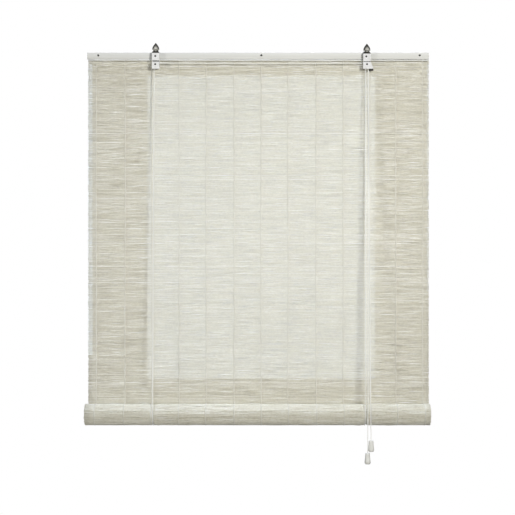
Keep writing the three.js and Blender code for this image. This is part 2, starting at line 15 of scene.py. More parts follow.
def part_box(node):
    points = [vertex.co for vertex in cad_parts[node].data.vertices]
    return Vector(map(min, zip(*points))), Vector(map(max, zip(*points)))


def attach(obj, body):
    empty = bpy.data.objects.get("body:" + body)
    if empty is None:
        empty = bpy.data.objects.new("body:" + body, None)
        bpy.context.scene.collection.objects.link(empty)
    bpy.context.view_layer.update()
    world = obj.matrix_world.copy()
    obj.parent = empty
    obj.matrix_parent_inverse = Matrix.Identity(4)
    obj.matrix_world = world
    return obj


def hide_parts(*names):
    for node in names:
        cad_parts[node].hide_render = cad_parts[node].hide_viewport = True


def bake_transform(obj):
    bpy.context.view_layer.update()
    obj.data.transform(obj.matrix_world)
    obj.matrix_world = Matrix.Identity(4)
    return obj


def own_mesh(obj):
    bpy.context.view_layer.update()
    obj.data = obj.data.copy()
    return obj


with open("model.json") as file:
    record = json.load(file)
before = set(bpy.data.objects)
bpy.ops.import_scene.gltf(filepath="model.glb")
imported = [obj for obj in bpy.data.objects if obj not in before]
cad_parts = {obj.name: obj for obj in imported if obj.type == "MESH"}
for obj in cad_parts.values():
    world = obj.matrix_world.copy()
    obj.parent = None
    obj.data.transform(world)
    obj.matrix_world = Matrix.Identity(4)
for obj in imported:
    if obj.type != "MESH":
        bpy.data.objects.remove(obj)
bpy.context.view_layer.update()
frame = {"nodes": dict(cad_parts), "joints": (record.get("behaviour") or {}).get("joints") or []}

MM = 0.001
rng = np.random.default_rng(41)


# ---------- Places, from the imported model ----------
def box_of(name):
    """A CAD node's lowest and highest corner, and the place midway between them."""
    low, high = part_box(name)
    return low, high, [(a + b) / 2 for a, b in zip(low, high)]


BOARD_LOW, BOARD_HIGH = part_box("head_front_board")
PANEL_LOW, PANEL_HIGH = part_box("woven_panel")
ROLL_LOW, ROLL_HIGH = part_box("fabric_roll")
LIFT = next(j["range_m"][1] for j in frame["joints"] if j["name"] == "roll_lift")
PANEL_Y = (PANEL_LOW.y + PANEL_HIGH.y) / 2
ROLL_CENTRE = (ROLL_LOW + ROLL_HIGH) / 2
ROLL_RADIUS = (ROLL_HIGH.z - ROLL_LOW.z) / 2

# ---------- Routes of the cords, from the cord lock to the knots ----------
PULL_CORD_SPLIT_Z = -0.924
PULL_CORD_A = [
    (0.2898, -0.0200, -0.0381),
    (0.2898, -0.0202, -0.0420),
    (0.2897, -0.0207, -0.0520),
    (0.2895, -0.0222, -0.0850),
    (0.2892, -0.0256, -0.1550),
    (0.2889, -0.0295, -0.2350),
    (0.2885, -0.0334, -0.3150),
    (0.2882, -0.0373, -0.3950),
    (0.2878, -0.0412, -0.4750),
    (0.2875, -0.0451, -0.5550),
    (0.2871, -0.0490, -0.6350),
    (0.2868, -0.0529, -0.7150),
    (0.2864, -0.0568, -0.7950),
    (0.2861, -0.0605, -0.8700),
    (0.2859, -0.0630, -0.9240),
    (0.2858, -0.0636, -0.9410),
    (0.2857, -0.0640, -0.9600),
    (0.2854, -0.0642, -0.9900),
    (0.2852, -0.0642, -1.0150),
    (0.2850, -0.0642, -1.0340),
    (0.2850, -0.0642, -1.0557),
]
PULL_CORD_B = [
    (0.2898, -0.0244, -0.0381),
    (0.2898, -0.0246, -0.0420),
    (0.2898, -0.0250, -0.0520),
    (0.2900, -0.0264, -0.0850),
    (0.2902, -0.0294, -0.1550),
    (0.2905, -0.0328, -0.2350),
    (0.2908, -0.0362, -0.3150),
    (0.2910, -0.0396, -0.3950),
    (0.2913, -0.0430, -0.4750),
    (0.2916, -0.0464, -0.5550),
    (0.2918, -0.0498, -0.6350),
    (0.2921, -0.0532, -0.7150),
    (0.2924, -0.0566, -0.7950),
    (0.2926, -0.0598, -0.8700),
    (0.2928, -0.0620, -0.9240),
    (0.2930, -0.0626, -0.9410),
    (0.2934, -0.0629, -0.9600),
    (0.2939, -0.0630, -0.9850),
    (0.2942, -0.0630, -1.0030),
    (0.2942, -0.0630, -1.0237),
]
CORD_RADIUS = 1.0 * MM


# ---------- Camera ----------
def make_camera():
    """A long lens square on to the blind, level with the middle of the panel."""
    distance = 3.6
    data = bpy.data.cameras.new("camera")
    data.sensor_width = 36.0
    data.lens = 95.5
    camera = bpy.data.objects.new("camera", data)
    camera.location = (-0.0013, BOARD_LOW.y - distance, -0.5317)
    camera.rotation_euler = (math.radians(90), 0, 0)
    bpy.context.scene.collection.objects.link(camera)
    bpy.context.scene.camera = camera


make_camera()


# ---------- Node helpers ----------
def new_material(name, values):
    """A material, its node tree and its Principled shader, which takes the given values."""
    material = bpy.data.materials.new(name)
    material.use_nodes = True
    tree = material.node_tree
    tree.nodes.clear()
    shader = node(tree, "BsdfPrincipled", values)
    node(tree, "OutputMaterial", links={"Surface": shader.outputs[0]})
    return material, tree, shader


def node(tree, kind, values=None, links=None, **settings):
    """Adds a node, sets its settings and inputs, and links the inputs named in links."""
    made = tree.nodes.new("ShaderNode" + kind)
    for key, value in settings.items():
        setattr(made, key, value)
    for key, value in (values or {}).items():
        made.inputs[key].default_value = value
    connect(tree, made, links or {})
    return made


def connect(tree, made, links):
    """Links each of a node's named inputs to its source."""
    for key, source in links.items():
        tree.links.new(source, made.inputs[key])


def scaled_position(tree, scale):
    """Object coordinates, stretched by scale along each axis."""
    place = node(tree, "TexCoord").outputs["Object"]
    mapping = node(tree, "Mapping", {"Scale": scale}, {"Vector": place}, vector_type="POINT")
    return mapping.outputs[0]


def noise_at(tree, scale, detail, roughness):
    """Noise over the stretched object coordinates."""
    values = {"Scale": 1.0, "Detail": detail, "Roughness": roughness}
    return node(tree, "TexNoise", values, {"Vector": scaled_position(tree, scale)}).outputs["Fac"]


def ramp(tree, source, stops):
    """A colour ramp; each stop is (position, (r, g, b))."""
    made = node(tree, "ValToRGB", links={"Fac": source})
    elements = made.color_ramp.elements
    while len(elements) < len(stops):
        elements.new(0.5)
    for element, (position, colour) in zip(elements, stops):
        element.position = position
        element.color = (*colour, 1)
    return made.outputs["Color"]


def remap(tree, source, low, high, within=(0.0, 1.0)):
    """Turns a value within a range, 0..1 unless it is given, into low..high."""
    values = {"From Min": within[0], "From Max": within[1], "To Min": low, "To Max": high}
    return node(tree, "MapRange", values, {"Value": source}).outputs["Result"]


def add_values(tree, first, second, share):
    """first + share * second."""
    made = node(tree, "Math", {1: share}, {0: second, 2: first}, operation="MULTIPLY_ADD")
    return made.outputs[0]


def mix_shaders(tree, share, first, second):
    """first where share is 0, second where it is 1."""
    links = {0: share, 1: first.outputs[0], 2: second.outputs[0]}
    return node(tree, "MixShader", links=links)


def bump(tree, height, distance, strength):
    """A normal roughened by a height."""
    values = {"Strength": strength, "Distance": distance}
    return node(tree, "Bump", values, {"Height": height}).outputs["Normal"]


# ---------- Materials ----------
TONE_STEP = 977.0  # how far apart in the noise two sticks lie whose tones differ by 1
WASH_STOPS = (0.0, 0.35, 0.7, 1.0)
WASHES = ((0.52, 0.485, 0.37), (0.66, 0.63, 0.51), (0.725, 0.70, 0.59), (0.79, 0.775, 0.70))


def own_noise(tree, tone, scale):
    """Noise along X that is each stick's own: its tone picks where in the noise it lies."""
    place = node(tree, "TexCoord").outputs["Object"]
    along = node(tree, "SeparateXYZ", links={0: place}).outputs["X"]
    shifted = node(tree, "Math", {1: TONE_STEP}, {0: tone}, operation="MULTIPLY").outputs[0]
    values = {"Scale": scale, "Detail": 2.0, "Roughness": 0.5}
    inputs = {"Vector": node(tree, "CombineXYZ", links={"X": along, "Y": shifted}).outputs[0]}
    return node(tree, "TexNoise", values, inputs).outputs["Fac"]


def slat_material(name, glow_share, lightness):
    """Whitewashed split sticks: tones drift along each, and its darker parts let more light by."""
    material, tree, shader = new_material(name, {"Specular IOR Level": 0.25})
    tone = node(tree, "Attribute", attribute_name="tone").outputs["Fac"]
    drift = own_noise(tree, tone, 18)
    flecks = own_noise(tree, tone, 150)
    grain = noise_at(tree, (170, 2600, 2600), 4, 0.65)
    mixed = add_values(tree, drift, flecks, 0.9)
    mixed = add_values(tree, mixed, grain, 0.5)
    level = remap(tree, mixed, 0, 1, within=(0.91, 1.49))
    stops = [
        (stop, tuple(lightness * part for part in wash)) for stop, wash in zip(WASH_STOPS, WASHES)
    ]
    links = {
        "Base Color": ramp(tree, level, stops),
        "Roughness": remap(tree, flecks, 0.6, 0.85),
        "Normal": bump(tree, grain, 0.15 * MM, 0.4),
    }
    connect(tree, shader, links)

    glow = node(tree, "BsdfTranslucent", {"Color": (0.86, 0.86, 0.84, 1)})
    share = remap(tree, level, glow_share * 1.4, glow_share * 0.6)
    output = next(n for n in tree.nodes if n.type == "OUTPUT_MATERIAL")
    connect(tree, output, {"Surface": mix_shaders(tree, share, shader, glow).outputs[0]})
    return material


def wood_material(name, dark, light, sheen, roughness):
    """Wood along X: fine fibres and slow bands under its paint or wash."""
    material, tree, shader = new_material(name, {"Specular IOR Level": sheen})
    fibres = noise_at(tree, (14, 700, 700), 5, 0.6)
    bands = noise_at(tree, (3, 90, 90), 2, 0.5)
    mixed = add_values(tree, fibres, bands, 0.6)
    level = remap(tree, mixed, 0, 1, within=(0.5, 1.1))
    links = {
        "Base Color": ramp(tree, level, [(0, dark), (1, light)]),
        "Roughness": remap(tree, fibres, *roughness),
        "Normal": bump(tree, fibres, 0.15 * MM, 0.4),
    }
    connect(tree, shader, links)
    return material


def cotton_material(name, dark, light, fibre_scale):
    """Cotton: short fibres, and fuzz at grazing angles."""
    values = {"Roughness": 0.9, "Sheen Weight": 0.3, "Sheen Roughness": 0.6}
    material, tree, shader = new_material(name, values)
    fibres = noise_at(tree, (fibre_scale, fibre_scale, fibre_scale * 0.25), 4, 0.7)
    links = {
        "Base Color": ramp(tree, fibres, [(0.3, dark), (0.7, light)]),
        "Normal": bump(tree, fibres, 0.2 * MM, 0.6),
    }
    connect(tree, shader, links)
    return material


def metal_material(name, dark, light, roughness, brush):
    """Plated or burnished steel with fine brushing and soft smudges."""
    material, tree, shader = new_material(name, {"Metallic": 1.0})
    smudges = noise_at(tree, (120, 120, 120), 4, 0.6)
    brushing = noise_at(tree, brush, 3, 0.6)
    links = {
        "Base Color": ramp(tree, smudges, [(0.3, dark), (0.7, light)]),
        "Roughness": remap(tree, add_values(tree, smudges, brushing, 0.5), *roughness),
        "Normal": bump(tree, brushing, 0.02 * MM, 0.35),
    }
    connect(tree, shader, links)
    return material


def plastic_material(name, dark, light, roughness, coat):
    """Moulded plastic: faint clouding, a slight orange-peel surface."""
    material, tree, shader = new_material(name, {"Coat Weight": coat, "Coat Roughness": 0.15})
    clouds = noise_at(tree, (90, 90, 90), 3, 0.5)
    peel = noise_at(tree, (900, 900, 900), 2, 0.5)
    links = {
        "Base Color": ramp(tree, clouds, [(0.3, dark), (0.7, light)]),
        "Roughness": remap(tree, peel, *roughness),
        "Normal": bump(tree, peel, 0.05 * MM, 0.25),
    }
    connect(tree, shader, links)
    return material


SLATS = slat_material("whitewashed_matchsticks", 0.45, 1.2)
WOUND_SLATS = slat_material("wound_matchsticks", 0.14, 0.99)
PAINTED = wood_material(
    "painted_wood", (0.58, 0.575, 0.53), (0.66, 0.655, 0.61), 0.3, (0.45, 0.65)
)
LIMEWASH = wood_material(
    "limewashed_wood", (0.42, 0.36, 0.25), (0.66, 0.60, 0.47), 0.25, (0.6, 0.8)
)
HEM_WHITE = wood_material(
    "whitened_stick", (0.66, 0.65, 0.59), (0.74, 0.735, 0.69), 0.3, (0.45, 0.65)
)
THREAD = cotton_material("cotton_thread", (0.71, 0.69, 0.605), (0.87, 0.85, 0.765), 2600)
# A darker copy of the cotton thread. On the cords across the head and over the right pulley it is
# painted shade; on the roll it makes the wound threads darker than the panel's.
SHADED_THREAD = cotton_material("thread_painted_shade", (0.57, 0.555, 0.47), (0.71, 0.695, 0.61), 2600)
CORD = cotton_material("cotton_cord", (0.73, 0.725, 0.67), (0.90, 0.895, 0.85), 1500)
NICKEL = metal_material(
    "nickel_plate", (0.84, 0.835, 0.805), (0.95, 0.95, 0.935), (0.12, 0.22), (300, 300, 4200)
)
AGED_NICKEL = metal_material(
    "aged_nickel", (0.52, 0.50, 0.44), (0.86, 0.85, 0.79), (0.14, 0.26), (300, 300, 2600)
)
DARK_STEEL = metal_material(
    "burnished_steel", (0.045, 0.043, 0.038), (0.12, 0.115, 0.10), (0.3, 0.5), (2600, 300, 300)
)
NYLON = plastic_material("nylon", (0.72, 0.71, 0.66), (0.84, 0.83, 0.79), (0.35, 0.5), 0.0)
KNOB = plastic_material(
    "knob_plastic", (0.63, 0.62, 0.56), (0.71, 0.705, 0.65), (0.3, 0.45), 0.3
)


# ---------- Mesh helpers ----------
class Surface:
    """Points and faces gathered into one mesh."""

    def __init__(self):
        self.points = []
        self.faces = []
        self.tones = []
        self.count = 0

    def add_tube(self, rings, tone=0.5):
        """Joins rings of shape (stations, sides, 3) into a capped tube.

        Each ring's points turn right-handed about the tube's run.
        """
        stations, sides = rings.shape[:2]
        index = self.count + np.arange(stations * sides).reshape(stations, sides)
        beside = np.roll(index, -1, axis=1)
        quads = np.stack([index[:-1], beside[:-1], beside[1:], index[1:]], axis=-1)
        self.faces.extend(quads.reshape(-1, 4).tolist())
        self.faces.append(index[0][::-1].tolist())
        self.faces.append(index[-1].tolist())
        self.points.append(rings.reshape(-1, 3))
        self.tones.append(np.full(stations * sides, tone))
        self.count += stations * sides

    def build(self, name, material):
        """The gathered points and faces as a named object, with the tones as an attribute."""
        made = mesh_object(name, np.concatenate(self.points), self.faces)
        tone = made.data.attributes.new("tone", "FLOAT", "POINT")
        tone.data.foreach_set("value", np.concatenate(self.tones).astype(np.float32))
        return finish_object(made, material)


def mesh_object(name, points, faces):
    """A new object in the scene, with a mesh of the points and faces."""
    mesh = bpy.data.meshes.new(name)
    mesh.from_pydata(points, [], faces)
    made = bpy.data.objects.new(name, mesh)
    bpy.context.scene.collection.objects.link(made)
    return made


def finish_object(made, material):
    """Gives an object its material and smooth shading."""
    mesh = made.data
    mesh.materials.append(material)
    mesh.polygons.foreach_set("use_smooth", [True] * len(mesh.polygons))
    mesh.validate()
    mesh.update()
    return made


# Edges sharper than this, in degrees, are shaded as corners.
TURNED_CORNER = 32
SHARP_CORNER = 40


def sharp_edges(made, degrees):
    """Splits the shading at edges sharper than the angle."""
    bpy.context.view_layer.objects.active = made
    made.data.set_sharp_from_angle(angle=math.radians(degrees))


def catmull_rom(points, spacing):
    """A smooth curve through the points, with a sample about every spacing."""
    p = np.array(points, float)
    p = np.vstack([2 * p[0] - p[1], p, 2 * p[-1] - p[-2]])
    line = []
    for a, b, c, d in zip(p[:-3], p[1:-2], p[2:-1], p[3:]):
        steps = max(1, int(np.ceil(np.linalg.norm(c - b) / spacing)))
        square, cube = 2 * a - 5 * b + 4 * c - d, 3 * b - a - 3 * c + d
        for t in np.arange(steps) / steps:
            line.append(0.5 * (2 * b + (c - a) * t + square * t**2 + cube * t**3))
    line.append(p[-2])
    return np.array(line)


def rope_rings(line, radius, sides=12, lobes=3, pitch=7 * MM, depth=0.1):
    """Rings round a line, with lobes that wind along it as the plies of a twisted cord do."""
    tangents = np.vstack([line[1:], line[-1:]]) - np.vstack([line[:1], line[:-1]])
    tangents /= np.linalg.norm(tangents, axis=1)[:, None]
    normal = np.cross(tangents[0], (0.37, 0.81, 0.45))  # with a direction that no line here has
    along = np.concatenate([[0], np.cumsum(np.linalg.norm(np.diff(line, axis=0), axis=1))])
    angles = 2 * np.pi * np.arange(sides) / sides
    rings = []
    for centre, tangent, run in zip(line, tangents, along):
        normal = normal - tangent * (normal @ tangent)
        normal /= np.linalg.norm(normal)
        across = np.cross(tangent, normal)
        reach = radius * (1 + depth * np.cos(lobes * (angles - 2 * np.pi * run / pitch)))
        rings.append(
            centre
            + (reach * np.cos(angles))[:, None] * normal
            + (reach * np.sin(angles))[:, None] * across
        )
    return np.array(rings)


def tube(name, rings, material, tone=0.5):
    """A piece that is one tube."""
    surface = Surface()
    surface.add_tube(rings, tone)
    return surface.build(name, material)


def rope(name, line, material=CORD):
    """A cord along a line."""
    return tube(name, rope_rings(line, CORD_RADIUS), material)


def lathe(name, profile, centre, axis, material, segments=64):
    """A turned piece; each profile point is (radius, distance along axis), from low to high."""
    origin = Vector(centre)
    run = Vector(axis)
    side = run.orthogonal().normalized()
    other = run.cross(side)
    angles = 2 * np.pi * np.arange(segments) / segments
    ring = np.outer(np.cos(angles), side) + np.outer(np.sin(angles), other)
    radii = np.maximum(np.array(profile)[:, 0], 1e-6)
    heights = np.array(profile)[:, 1]
    rings = np.array(origin) + radii[:, None, None] * ring + np.outer(heights, run)[:, None, :]
    made = tube(name, rings, material)
    sharp_edges(made, TURNED_CORNER)
    return made


def outline_from(z, points):
    """Points of an outline given in mm, with their heights from z."""
    return [(radius * MM, z + height * MM) for radius, height in points]


def rounded(profile):
    """A smooth outline through the profile's points."""
    spacing = min(np.linalg.norm(np.subtract(b, a)) for a, b in zip(profile, profile[1:]))
    return catmull_rom(profile, max(spacing, 0.1 * MM) / 6)


# ---------- The woven sheet: panel and roll are one length of it ----------
SLAT_PITCH = 2.3 * MM
SLAT_HALF_THICK = 0.62 * MM
SLAT_SIDES = 6
SLAT_OVERLAP = 1.17  # a slat's outline, as a share of its pitch, so that neighbours just touch
BOW = 0.30 * MM
FLAT_PLAY = (0.07 * MM, 1.1)  # how far the panel's slats stand proud, and how much they tilt
WOUND_PLAY = (0.30 * MM, 2.4)  # the same on the roll
SHEET_TOP = PANEL_HIGH.z
PANEL_RUN = PANEL_HIGH.z - PANEL_LOW.z
FOLDED = 4.5 * MM  # the height that the shortening part of the panel still takes at full lift
STILL_RUN = SHEET_TOP - (ROLL_CENTRE.z + LIFT) - FOLDED  # the run that stays still above it
LAYER = 1.85 * MM
LOOSE_TURN = 1.3 * MM  # how far the last turn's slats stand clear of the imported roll
ROLL_START_RADIUS = ROLL_RADIUS + LOOSE_TURN
ALL_TURNS = 9.2
FULL_TURNS = 2.25  # the outer turns, whose slats run from end to end of the roll
THREAD_TURNS = 1.3  # the outer turns that carry warp threads
STUB = 32 * MM  # the inner turns' slats reach this far in from the roll's ends
THREAD_X = [
    x * MM for x in (-427, -351, -280, -208, -137, -63, 8, 79, 153, 225, 295, 364, 435)
]
THREAD_HALF_WIDTH = 1.0 * MM
THREAD_HALF_THICK = 0.34 * MM
THREAD_STEP = 0.35 * MM  # how far a pair's two threads lie either side of their line
THREAD_REACH = 0.36  # a thread lies along a slat's face this share of the pitch each way
RAIL_SQUEEZE = 0.62  # the clamped rail presses the sheet to this share of its thickness

FREE_REACH = 20 * MM  # a slat lies free at this distance from the nearest thread
END_SPREAD = 4 * MM  # how unevenly the slats end on the roll
FLAT_OVERHANG = 0.8 * MM  # how far the longest slats of the flat panel pass its packed width

DENT_DEPTH = 3.8 * MM
DENT_START = 0.4 * np.pi  # the cords press the roll in from this angle round it on
DENTS = [
    {"x": box_of("left_sling")[2][0], "left": 9 * MM, "right": 8 * MM},
    {"x": box_of("right_sling")[2][0], "left": 9 * MM, "right": 17 * MM},
]
DENT_STEPS = (-14, -9, -6, -4, -2.5, -1, 1, 2.5, 4, 6, 9, 14, 18)  # stations near a dent, in mm


def spiral(run):
    """Angle and radius at a run along the roll's spiral, which starts at its back, going down."""
    growth = LAYER / (2 * np.pi)
    angle = (ROLL_START_RADIUS - np.sqrt(ROLL_START_RADIUS**2 - 2 * growth * run)) / growth
    return angle, ROLL_START_RADIUS - growth * angle


def spiral_run(turns):
    """How much of the sheet the roll's outer turns take up."""
    return turns * np.pi * (2 * ROLL_START_RADIUS - turns * LAYER)


SPIRAL_RUN = spiral_run(ALL_TURNS)


def sheet_place(run):
    """Centre (y, z), direction down the sheet and outward direction at runs along the sheet."""
    run = np.asarray(run, float)
    angle, radius = spiral(np.clip(run - PANEL_RUN, 0, SPIRAL_RUN))
    wound = run > PANEL_RUN
    y = np.where(wound, ROLL_CENTRE.y + radius * np.cos(angle), PANEL_Y)
    z = np.where(wound, ROLL_CENTRE.z - radius * np.sin(angle), SHEET_TOP - run)
    down = np.stack(
        [np.where(wound, -np.sin(angle), 0.0), np.where(wound, -np.cos(angle), -1.0)], -1
    )
    out = np.stack([np.where(wound, np.cos(angle), 1.0), np.where(wound, -np.sin(angle), 0.0)], -1)
    return np.stack([y, z], -1), down, out, np.where(wound, angle, 0.0)


def slat_runs():
    """Runs of the slats' centres down the sheet, spaced a little unevenly."""
    count = int((PANEL_RUN + SPIRAL_RUN) / SLAT_PITCH)
    pitches = SLAT_PITCH * (1 + 0.12 * np.clip(rng.normal(size=count), -1.8, 1.8))
    runs = np.cumsum(pitches)
    heights = np.minimum(pitches, np.append(pitches[1:], SLAT_PITCH)) * 0.5
    kept = runs < PANEL_RUN + SPIRAL_RUN - SLAT_PITCH
    return runs[kept], heights[kept]


def squeeze(run):
    """How thick the sheet is at a run, as a share: less between the batten and the board."""
    inside = SHEET_TOP - BOARD_LOW.z
    return RAIL_SQUEEZE + (1 - RAIL_SQUEEZE) * np.clip((run - inside) / (6 * MM), 0, 1)


def dent_share(x, angle):
    """How far the cords press the roll in at x, 0 to 1: wide over the top, narrow in front."""
    over_top = np.clip((np.mod(angle, 2 * np.pi) - np.pi) / (0.5 * np.pi), 0, 1)
    share = np.zeros(np.broadcast(x, angle).shape)
    for dent in DENTS:
        offset = x - dent["x"]
        reach = np.where(offset < 0, dent["left"], dent["right"]) * (0.45 + 0.55 * over_top)
        near = np.clip(1 - np.abs(offset) / reach, 0, 1)
        share = np.maximum(share, near * near * (3 - 2 * near))
    return share


def stations(left, right, extra=()):
    """Places along a slat: its ends, the threads, two between each pair, and those near dents."""
    places = [left, *THREAD_X, right]
    between = [a + (b - a) * t / 3 for a, b in zip(THREAD_X[:-1], THREAD_X[1:]) for t in (1, 2)]
    kept = [x for x in [*places, *between] if all(abs(x - e) > 5 * MM for e in extra)]
    return np.array(sorted([*kept, *extra]))


def add_slats(surface, runs, heights, along, left_ends, right_ends, dented):
    """Adds thin irregular sticks at the runs, held at the threads and free between them."""
    count, length = len(runs), len(along)
    centre, down, out, angle = sheet_place(runs)
    x = np.tile(along, (count, 1))
    x[:, 0], x[:, -1] = left_ends, right_ends
    to_thread = np.abs(along[:, None] - np.array(THREAD_X)).min(1)
    freedom = 0.15 + 0.85 * np.clip(to_thread / FREE_REACH, 0, 1)
    slide = BOW * freedom * rng.normal(size=(count, length))
    stand, loose = WOUND_PLAY if dented else FLAT_PLAY
    proud = stand * freedom * rng.normal(size=(count, length))
    tilt = 0.10 * freedom * rng.normal(size=(count, length)) + 0.09 * rng.normal(size=(count, 1))
    fat = 1 + 0.05 * freedom * rng.normal(size=(count, length))
    if dented:
        press = dent_share(x, angle[:, None]) * (angle[:, None] > DENT_START)
        proud = proud - DENT_DEPTH * press
    corner = 2 * np.pi * (np.arange(SLAT_SIDES) + 0.5) / SLAT_SIDES
    shape = 1 + 0.06 * rng.normal(size=(count, 1, SLAT_SIDES))
    half_high = (heights * rng.uniform(0.95, 1.06, count))[:, None, None] * fat[:, :, None]
    half_thick = SLAT_HALF_THICK * rng.uniform(0.85, 1.1, count)[:, None, None]
    u = half_high * SLAT_OVERLAP * np.cos(corner) * shape
    v = half_thick * np.sin(corner) * shape
    cos, sin = np.cos(loose * tilt)[:, :, None], np.sin(loose * tilt)[:, :, None]
    thin = squeeze(runs)[:, None, None]
    along_sheet = slide[:, :, None] + u * cos - v * sin
    through_sheet = thin * (proud[:, :, None] + u * sin * 0.8 + v * cos)
    y, z = (
        centre[:, None, None, axis]
        + down[:, None, None, axis] * along_sheet
        + out[:, None, None, axis] * through_sheet
        for axis in (0, 1)
    )
    rings = np.stack([np.broadcast_to(x[:, :, None], y.shape), y, z], -1)
    for slat, tone in zip(rings, rng.random(count)):
        surface.add_tube(slat, tone)


def ragged(count, base, spread, inward):
    """Slat ends that stop a little short of base, unevenly."""
    return base + inward * spread * rng.random(count) ** 1.5


def make_slats(runs, heights):
    """The still top of the panel, the panel that shortens, and the roll."""
    still = runs < STILL_RUN
    hanging = (runs >= STILL_RUN) & (runs < PANEL_RUN)
    inner = runs >= PANEL_RUN + spiral_run(FULL_TURNS)
    outer = (runs >= PANEL_RUN) & ~inner
    made = {}
    flat = stations(PANEL_LOW.x, PANEL_HIGH.x)
    for name, chosen in (("woven_panel_top", still), ("woven_panel_drop", hanging)):
        surface = Surface()
        count = int(chosen.sum())
        ends = (
            ragged(count, PANEL_LOW.x - FLAT_OVERHANG, 2 * FLAT_OVERHANG, 1),
            ragged(count, PANEL_HIGH.x + FLAT_OVERHANG, 2 * FLAT_OVERHANG, -1),
        )
        add_slats(surface, runs[chosen], heights[chosen], flat, *ends, dented=False)
        made[name] = surface.build(name, SLATS)
    near_dents = [dent["x"] + step * MM for dent in DENTS for step in DENT_STEPS]
    surface = Surface()
    count = int(outer.sum())
    ends = (ragged(count, ROLL_LOW.x, END_SPREAD, 1), ragged(count, ROLL_HIGH.x, END_SPREAD, -1))
    along = stations(ROLL_LOW.x, ROLL_HIGH.x, near_dents)
    add_slats(surface, runs[outer], heights[outer], along, *ends, dented=True)
    count = int(inner.sum())
    for base, inward in ((ROLL_LOW.x, 1), (ROLL_HIGH.x, -1)):
        outside = ragged(count, base, END_SPREAD, inward)
        inside = np.full(count, base + inward * STUB)
        first, last = (outside, inside) if inward > 0 else (inside, outside)
        along = np.linspace(base, base + inward * STUB, 3)[::inward]
        add_slats(surface, runs[inner], heights[inner], along, first, last, dented=False)
    made["matchstick_roll"] = surface.build("matchstick_roll", WOUND_SLATS)
    return made


def thread_rings(x, runs, sign):
    """Flat four-sided rings of one warp thread that lies before one slat and behind the next."""
    reach = np.gradient(runs) * THREAD_REACH
    places = np.stack([runs - reach, runs + reach], -1).ravel()
    side = sign * np.repeat((-1.0) ** np.arange(len(runs)), 2)
    centre, _, out, angle = sheet_place(places)
    press = DENT_DEPTH * dent_share(np.full(len(places), x), angle) * (angle > DENT_START)
    through = side * (SLAT_HALF_THICK + THREAD_HALF_THICK) * squeeze(places) - press
    sway = x + 0.5 * MM * np.sin(places * 9 + x * 40) + side * THREAD_STEP
    across = THREAD_HALF_WIDTH * np.array([1, 0, -1, 0])
    proud = through[:, None] + THREAD_HALF_THICK * np.array([0, 1, 0, -1])
    y = centre[:, 0:1] + out[:, 0:1] * proud
    z = centre[:, 1:2] + out[:, 1:2] * proud
    return np.stack([sway[:, None] + across, y, z], -1)


def make_threads(runs):
    """Pairs of warp threads, in the same lengths as the slats."""
    made = {}
    lengths = {
        "warp_threads_top": (0, STILL_RUN),
        "warp_threads_drop": (STILL_RUN, PANEL_RUN),
        "warp_threads_roll": (PANEL_RUN, PANEL_RUN + spiral_run(THREAD_TURNS)),
    }
    for name, (start, stop) in lengths.items():
        chosen = runs[(runs >= start - SLAT_PITCH) & (runs < stop)]
        surface = Surface()
        for x in THREAD_X:
            for sign in (-1, 1):
                surface.add_tube(thread_rings(x, chosen, sign))
        # The roll's threads take the darker copy of the thread, in place of the panel's.
        made[name] = surface.build(name, SHADED_THREAD if name.endswith("_roll") else THREAD)
    return made


def core_tube():
    """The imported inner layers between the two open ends, as one body of wound sticks."""
    radius = ROLL_START_RADIUS - (FULL_TURNS + 0.8) * LAYER
    start = (ROLL_LOW.x + STUB * 0.8, ROLL_CENTRE.y, ROLL_CENTRE.z)
    stop = (ROLL_HIGH.x - STUB * 0.8, ROLL_CENTRE.y, ROLL_CENTRE.z)
    line = np.linspace(start, stop, 60)
    rings = rope_rings(line, radius, sides=60, lobes=30, pitch=1000.0, depth=0.02)
    return tube("wound_layers", rings, WOUND_SLATS, 0.3)


def woven_sheet():
    """The sheet's pieces and what they ride on; the imported panel and roll are hidden."""
    runs, heights = slat_runs()
    pieces = {**make_slats(runs, heights), **make_threads(runs), "wound_layers": core_tube()}
    for name, made in pieces.items():
        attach(made, "head" if name.endswith(("_top", "_drop")) else "roll")
        if name.endswith("_drop"):
            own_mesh(made)
    for name in ("woven_panel_top", "woven_panel_drop"):
        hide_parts("woven_panel")
    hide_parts("fabric_roll")


woven_sheet()


# ---------- Lift cords ----------
STRAND_STUB = 13 * MM  # the length of each strand that stays still in its bracket


def strand_ends(name):
    """Top and bottom centre of a slanting strand, from its CAD node's points."""
    low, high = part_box(name)
    points = np.array([v.co for v in frame["nodes"][name].data.vertices])
    top = points[points[:, 2] > high.z - 1.5 * MM].mean(0)
    bottom = points[points[:, 2] < low.z + 1.5 * MM].mean(0)
    top[2], bottom[2] = high.z, low.z
    return top, bottom


def lift_strands():
    """Each strand's still end in its bracket, and the length below it that shortens."""
    for side in ("left", "right"):
        for place in ("rear", "front"):
            name = f"{side}_{place}_strand"
            top, bottom = strand_ends(name)
            below = top + (bottom - top) * STRAND_STUB / (top[2] - bottom[2])
            stub = rope(name + "_end_rope", catmull_rom([top, below], 1.6 * MM))
            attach(stub, "head")
            made = rope(name + "_rope", catmull_rom([below, bottom], 1.6 * MM))
            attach(made, "head")
            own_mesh(made)
            for piece in (stub, made):
                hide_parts(name)


def sling_line(side):
    """Under the roll from the rear strand to the front one, then up along that one."""
    rear = strand_ends(f"{side}_rear_strand")[1]
    front_top, front = strand_ends(f"{side}_front_strand")
    slope = (front - front_top) / (front_top[2] - front[2])
    foot = front + slope * (front[2] - ROLL_CENTRE.z)
    back_radius = rear[1] - ROLL_CENTRE.y
    front_radius = ROLL_CENTRE.y - foot[1]
    points = []
    for angle in np.linspace(0, np.pi, 19):
        radius = back_radius + (front_radius - back_radius) * angle / np.pi
        y = ROLL_CENTRE.y + radius * np.cos(angle)
        points.append((rear[0], y, ROLL_CENTRE.z - radius * np.sin(angle)))
    points.append(tuple((foot + front) / 2))
    points.append(tuple(front))
    return points


